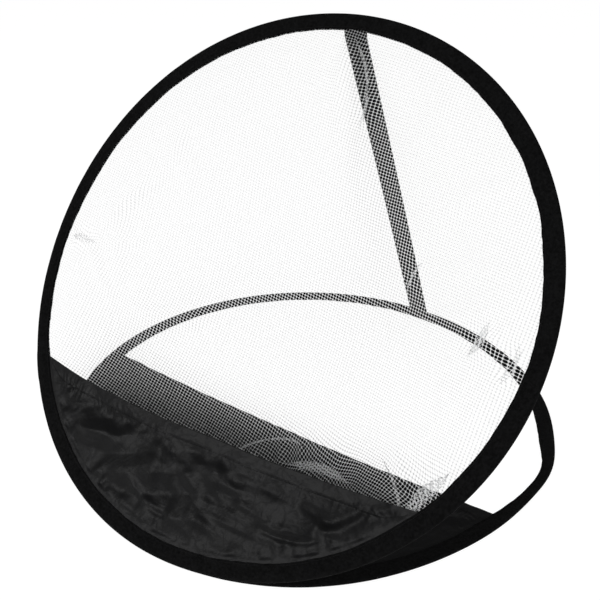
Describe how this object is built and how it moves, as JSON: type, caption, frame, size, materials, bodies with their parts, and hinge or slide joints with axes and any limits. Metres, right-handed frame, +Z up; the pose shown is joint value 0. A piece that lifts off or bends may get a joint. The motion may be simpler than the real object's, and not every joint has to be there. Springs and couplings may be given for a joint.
{
  "type": "golf chipping net",
  "caption": "Pop-up golf chipping net: a round hoop with a slack mesh pocket and a low apron leans back over a round base hoop, held by a rear strap.",
  "frame": {"origin": "on the ground, under the middle of the whole object's box at rest", "axes": "+Z up, +X to the right along the hinge seen from the player's side, +Y from the hinge to the back of the base hoop"},
  "size_m": [0.5299, 0.5168, 0.401],
  "materials": {
    "spring_steel": "blued spring steel strip",
    "ferrule_steel": "plated steel tube, crimped",
    "black_binding": "matt woven binding",
    "black_polyester": "thin crumpled polyester with a slight sheen",
    "black_tape": "matt woven tape",
    "black_webbing": "flat woven webbing",
    "white_mesh": "knitted white mesh"
  },
  "bodies": {
    "base": {"base_wire": "spring_steel", "base_ferrule": "ferrule_steel", "base_sleeve": "black_binding", "base_apron": "black_polyester", "hinge_tape": "black_tape", "strap": "black_webbing"},
    "front": {"front_wire": "spring_steel", "front_ferrule": "ferrule_steel", "front_sleeve": "black_binding", "front_apron": "black_polyester", "net": "white_mesh"}
  },
  "joints": [
    {"name": "front_fold", "type": "hinge", "parent": "base", "child": "front", "pos_m": [0, -0.2516, 0.00575], "axis": [-1, 0, 0], "range_deg": [0, 51], "stiffness_Nm_per_rad": 0.15, "springref_deg": -128.92, "deforming": ["net", "strap", "hinge_tape"]}
  ]
}
